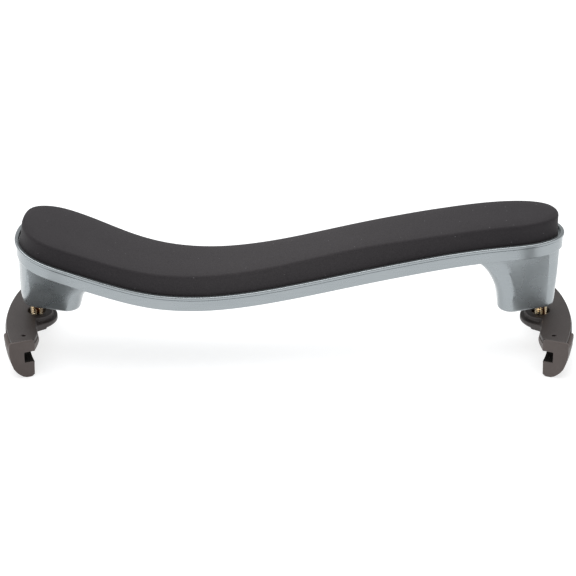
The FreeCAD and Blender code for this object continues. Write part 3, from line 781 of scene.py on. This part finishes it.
def paint_finish():
    """Silver grey metallic lacquer with the faint long grain of the mould under it."""
    paint = Finish("silver_grey_lacquer", Metallic=0.8, Coat_Weight=0.5, Coat_Roughness=0.16, IOR=1.45)
    cloud = paint.noise(90.0, 3.0, 0.5)
    grain = paint.noise(70.0, 3.0, 0.6, paint.stretched((1.0, 1.0, 30.0)))
    tone = paint.mix(cloud, colour(150, 157, 160), colour(158, 164, 167))
    tone = paint.mix(paint.ramp(grain, (0.45, 0.7), (0.0, 0.2)), tone, colour(128, 135, 139))
    rough = paint.ramp(cloud, (0.3, 0.7), (0.24, 0.3))
    normal = paint.bump(paint.noise(300.0, 2.0), 0.015, 0.2 * MM)
    return paint.set(Base_Color=tone, Roughness=rough, Normal=normal)


def foam_finish():
    """Fine closed-cell foam, with painted light making it paler in the middle, and a little dust on it."""
    foam = Finish("charcoal_foam", Sheen_Weight=0.1, Sheen_Roughness=0.6, Specular_IOR_Level=0.15)
    pores = foam.noise(2200.0, 3.0, 0.65)
    cloud = foam.noise(60.0, 4.0, 0.55)
    along = foam.node("ShaderNodeSeparateXYZ", Vector=foam.place).outputs["X"]
    from_middle = foam.node("ShaderNodeMath", {"operation": "ABSOLUTE"}, Value=along).outputs["Value"]
    # painted light: the foam is paler towards the middle of the pad, where the light fell more strongly
    painted_light_middle = foam.ramp(from_middle, (20 * MM, 90 * MM), (0.8, 0.0))
    tone = foam.mix(cloud, colour(40, 37, 40), colour(50, 47, 50))
    tone = foam.mix(painted_light_middle, tone, colour(60, 57, 59))
    tone = foam.mix(foam.ramp(pores, (0.35, 0.65), (0.45, 0.0)), tone, colour(26, 24, 26))
    dust = foam.specks(240.0, 0.06)
    tone = foam.mix(dust, tone, colour(120, 118, 122))
    rough = foam.ramp(pores, (0.3, 0.7), (0.95, 0.8))
    normal = foam.bump(pores, 0.35, 0.12 * MM)
    return foam.set(Base_Color=tone, Roughness=rough, Normal=normal)


def plastic_finish():
    """Dark grey nylon with a fine spark-eroded texture."""
    plastic = Finish("dark_grey_nylon", Specular_IOR_Level=0.5)
    grain = plastic.noise(1800.0, 3.0, 0.6)
    cloud = plastic.noise(120.0, 3.0, 0.5)
    tone = plastic.mix(cloud, colour(54, 48, 47), colour(68, 62, 60))
    rough = plastic.ramp(grain, (0.3, 0.7), (0.38, 0.54))
    normal = plastic.bump(grain, 0.18, 0.06 * MM)
    return plastic.set(Base_Color=tone, Roughness=rough, Normal=normal)


def rubber_finish():
    """Dark grey soft rubber."""
    rubber = Finish("dark_grey_rubber", Specular_IOR_Level=0.4, Sheen_Weight=0.1, Sheen_Roughness=0.5)
    grain = rubber.noise(1500.0, 3.0, 0.6)
    cloud = rubber.noise(150.0, 3.0, 0.5)
    tone = rubber.mix(cloud, colour(79, 71, 68), colour(94, 85, 82))
    rough = rubber.ramp(grain, (0.3, 0.7), (0.5, 0.68))
    normal = rubber.bump(grain, 0.2, 0.06 * MM)
    return rubber.set(Base_Color=tone, Roughness=rough, Normal=normal)


def slot_shade_finish():
    """Ribbed inside of the slots that grip the instrument: real ribs, painted near black as the shade deep
    in the slot.
    """
    shaded_lining = Finish("slot_lining", Specular_IOR_Level=0.2)
    ribs = shaded_lining.node("ShaderNodeTexWave", {"bands_direction": "X"}, Vector=shaded_lining.place, Scale=450.0)
    # painted shade: near-black colour standing in for the shade inside the slot; the ribs are real
    tone = shaded_lining.mix(ribs.outputs["Fac"], colour(14, 12, 11), colour(40, 36, 33))
    normal = shaded_lining.bump(ribs.outputs["Fac"], 0.5, 0.2 * MM)
    rough = shaded_lining.ramp(shaded_lining.noise(1500.0), (0.3, 0.7), (0.6, 0.8))
    return shaded_lining.set(Base_Color=tone, Roughness=rough, Normal=normal)


def brass_finish():
    """Turned brass with fine lathe marks and upright streaks of painted reflection, near white and dark
    brown.
    """
    brass = Finish("turned_brass", Metallic=1.0)
    marks = brass.noise(30.0, 3.0, 0.6, brass.stretched((1.0, 1.0, 220.0)))
    # painted reflection: upright bright and dark streaks, as a threaded brass stud reflects its
    # surroundings
    reflection_noise = brass.noise(900.0, 3.0, 0.6, brass.stretched((1.0, 1.0, 0.15)))
    painted_reflection = brass.ramp(reflection_noise, (0.44, 0.52), (0.0, 1.0))
    tone = brass.mix(painted_reflection, colour(98, 58, 30), colour(255, 236, 202))
    rough = brass.ramp(marks, (0.3, 0.7), (0.08, 0.2))
    normal = brass.bump(marks, 0.15, 0.05 * MM)
    return brass.set(Base_Color=tone, Roughness=rough, Normal=normal)


def steel_finish():
    """Blackened steel pins."""
    steel = Finish("black_steel", Metallic=0.8)
    grain = steel.noise(3000.0, 2.0)
    tone = steel.mix(grain, colour(20, 19, 19), colour(38, 36, 36))
    rough = steel.ramp(grain, (0.3, 0.7), (0.4, 0.6))
    return steel.set(Base_Color=tone, Roughness=rough)


def adhesive_finish():
    """Pale contact adhesive film."""
    film = Finish("contact_adhesive", Specular_IOR_Level=0.4)
    streaks = film.noise(200.0, 3.0, 0.6)
    tone = film.mix(streaks, colour(150, 142, 120), colour(178, 170, 148))
    rough = film.ramp(streaks, (0.3, 0.7), (0.5, 0.8))
    return film.set(Base_Color=tone, Roughness=rough)


def floor_finish():
    """White paper sweep."""
    paper = Finish("white_paper", Specular_IOR_Level=0.1, Roughness=0.9,
                   Emission_Color=(1.0, 1.0, 1.0, 1.0), Emission_Strength=0.7)
    fibres = paper.noise(300.0, 3.0)
    tone = paper.mix(fibres, colour(176, 177, 178), colour(184, 185, 186))
    return paper.set(Base_Color=tone)


# ---------------------------------------------------------------- pieces


def repaint(node, material):
    """Give a CAD node that stays in view its procedural material."""
    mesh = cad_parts[node].data
    mesh.materials.clear()
    mesh.materials.append(material)


LACQUER = paint_finish()
FOAM = foam_finish()
NYLON = plastic_finish()
RUBBER = rubber_finish()
SLOT_SHADE = slot_shade_finish()
BRASS = brass_finish()
STEEL = steel_finish()
GLUE = adhesive_finish()

pad = register(shoulder_pad(), "base", FOAM, ["foam_pad"])
register(base(), "base", LACQUER, ["base_shell"])
repaint("pad_adhesive", GLUE)
for side in SIDES:
    claw = "claw_" + side
    register(threaded_stud(side), "stud_" + side, BRASS, ["stud_" + side])
    register(brass_collar(side), claw, BRASS, ["collar_" + side])
    plate = softened("claw_plate_" + side, "grip_plate_" + side, PLATE_VOXEL, PLATE_PASSES)
    register(plate, claw, NYLON, ["claw_plate_" + side])
    for place in ("outer", "inner"):
        repaint(f"insert_{side}_{place}", BRASS)
    for place in ("front", "back"):
        foot = f"foot_{side}_{place}"
        soft_foot = softened(foot, "soft_" + foot, FOOT_VOXEL, FOOT_PASSES)
        register(soft_foot, claw, RUBBER, [foot])
        # the inside of the slot gets painted shade
        shade_slot_faces(soft_foot, side, SLOT_SHADE)
        repaint(f"pin_{side}_{place}", STEEL)

# ---------------------------------------------------------------- floor, light and camera

TARGET = Vector((-0.3 * MM, 0, 26.95 * MM))     # what the camera and the lamp are aimed at
CAMERA_DISTANCE = 1.1
CAMERA_ELEVATION = math.radians(29)
CAMERA_LENS, CAMERA_SENSOR = 168.4, 36          # millimetres
FLOOR_HALF = 3.0                                # half the side of the square floor
CARD_LEVEL = 0.4 * MM                           # just over the floor
CARD_MOTTLE = 0.15                              # of the shade, either way


def paper_floor():
    """Square floor that runs far past the view."""
    corners = [(x * FLOOR_HALF, y * FLOOR_HALF, 0) for x, y in ((-1, -1), (1, -1), (1, 1), (-1, 1))]
    floor = solid("paper_floor", corners, [(0, 1, 2, 3)])
    floor.data.materials.append(floor_finish())


def shadow_reflection_card(name, corners, shade):
    """Dark sheet lying before a leg, which only shows as a reflection in glossy faces: a painted reflection
    of the shaded floor.

    The corners are in millimetres.
    """
    card = solid(name, [(x * MM, y * MM, CARD_LEVEL) for x, y in corners], [tuple(range(len(corners)))])
    shadow_sheet = Finish(name + "_felt", Specular_IOR_Level=0.0, Roughness=1.0)
    dark, pale = (colour(*[shade * (1 + change)] * 3) for change in (-CARD_MOTTLE, CARD_MOTTLE))
    card.data.materials.append(shadow_sheet.set(Base_Color=shadow_sheet.mix(shadow_sheet.noise(800.0), dark, pale)))
    card.visible_camera = False
    card.visible_diffuse = False
    card.visible_shadow = False


def lamp(name, place, size, power):
    """Square soft box aimed at the rest."""
    light = bpy.data.lights.new(name, "AREA")
    light.shape = "SQUARE"
    light.size = size
    light.energy = power
    thing = bpy.data.objects.new(name, light)
    thing.location = place
    thing.rotation_euler = (TARGET - Vector(place)).to_track_quat("-Z", "Y").to_euler()
    thing.visible_camera = False
    bpy.context.scene.collection.objects.link(thing)


def surroundings():
    """Even white light from all round, and colours shown as they are."""
    world = bpy.data.worlds.new("studio")
    world.use_nodes = True
    backdrop = world.node_tree.nodes["Background"]
    backdrop.inputs["Color"].default_value = (1.0, 1.0, 1.0, 1.0)
    backdrop.inputs["Strength"].default_value = 0.45
    scene = bpy.context.scene
    scene.world = world
    scene.view_settings.view_transform = "Standard"


def camera():
    """Camera in front of the rest, looking down at it."""
    view = bpy.data.cameras.new("camera")
    view.lens = CAMERA_LENS
    view.sensor_width = CAMERA_SENSOR
    view.clip_start, view.clip_end = 0.05, 20
    thing = bpy.data.objects.new("camera", view)
    back = Vector((0, -math.cos(CAMERA_ELEVATION), math.sin(CAMERA_ELEVATION)))
    thing.location = TARGET + back * CAMERA_DISTANCE
    thing.rotation_euler = (-back).to_track_quat("-Z", "Y").to_euler()
    bpy.context.scene.collection.objects.link(thing)
    bpy.context.scene.camera = thing


paper_floor()
# painted reflections of shade: sheets seen only in glossy faces, darkening the legs' fronts as the shaded
# floor would
shadow_reflection_card("left_dark_card", ((-132, -80), (-103, -78), (-95, -8), (-113, -8)), shade=4)
shadow_reflection_card("right_grey_card",
          ((110, -34), (131, -34), (151, -78), (176, -165), (140, -125), (117, -78)), shade=120)
lamp("key", place=(-0.1, 0.1, 1.0), size=1.3, power=13)
surroundings()
camera()
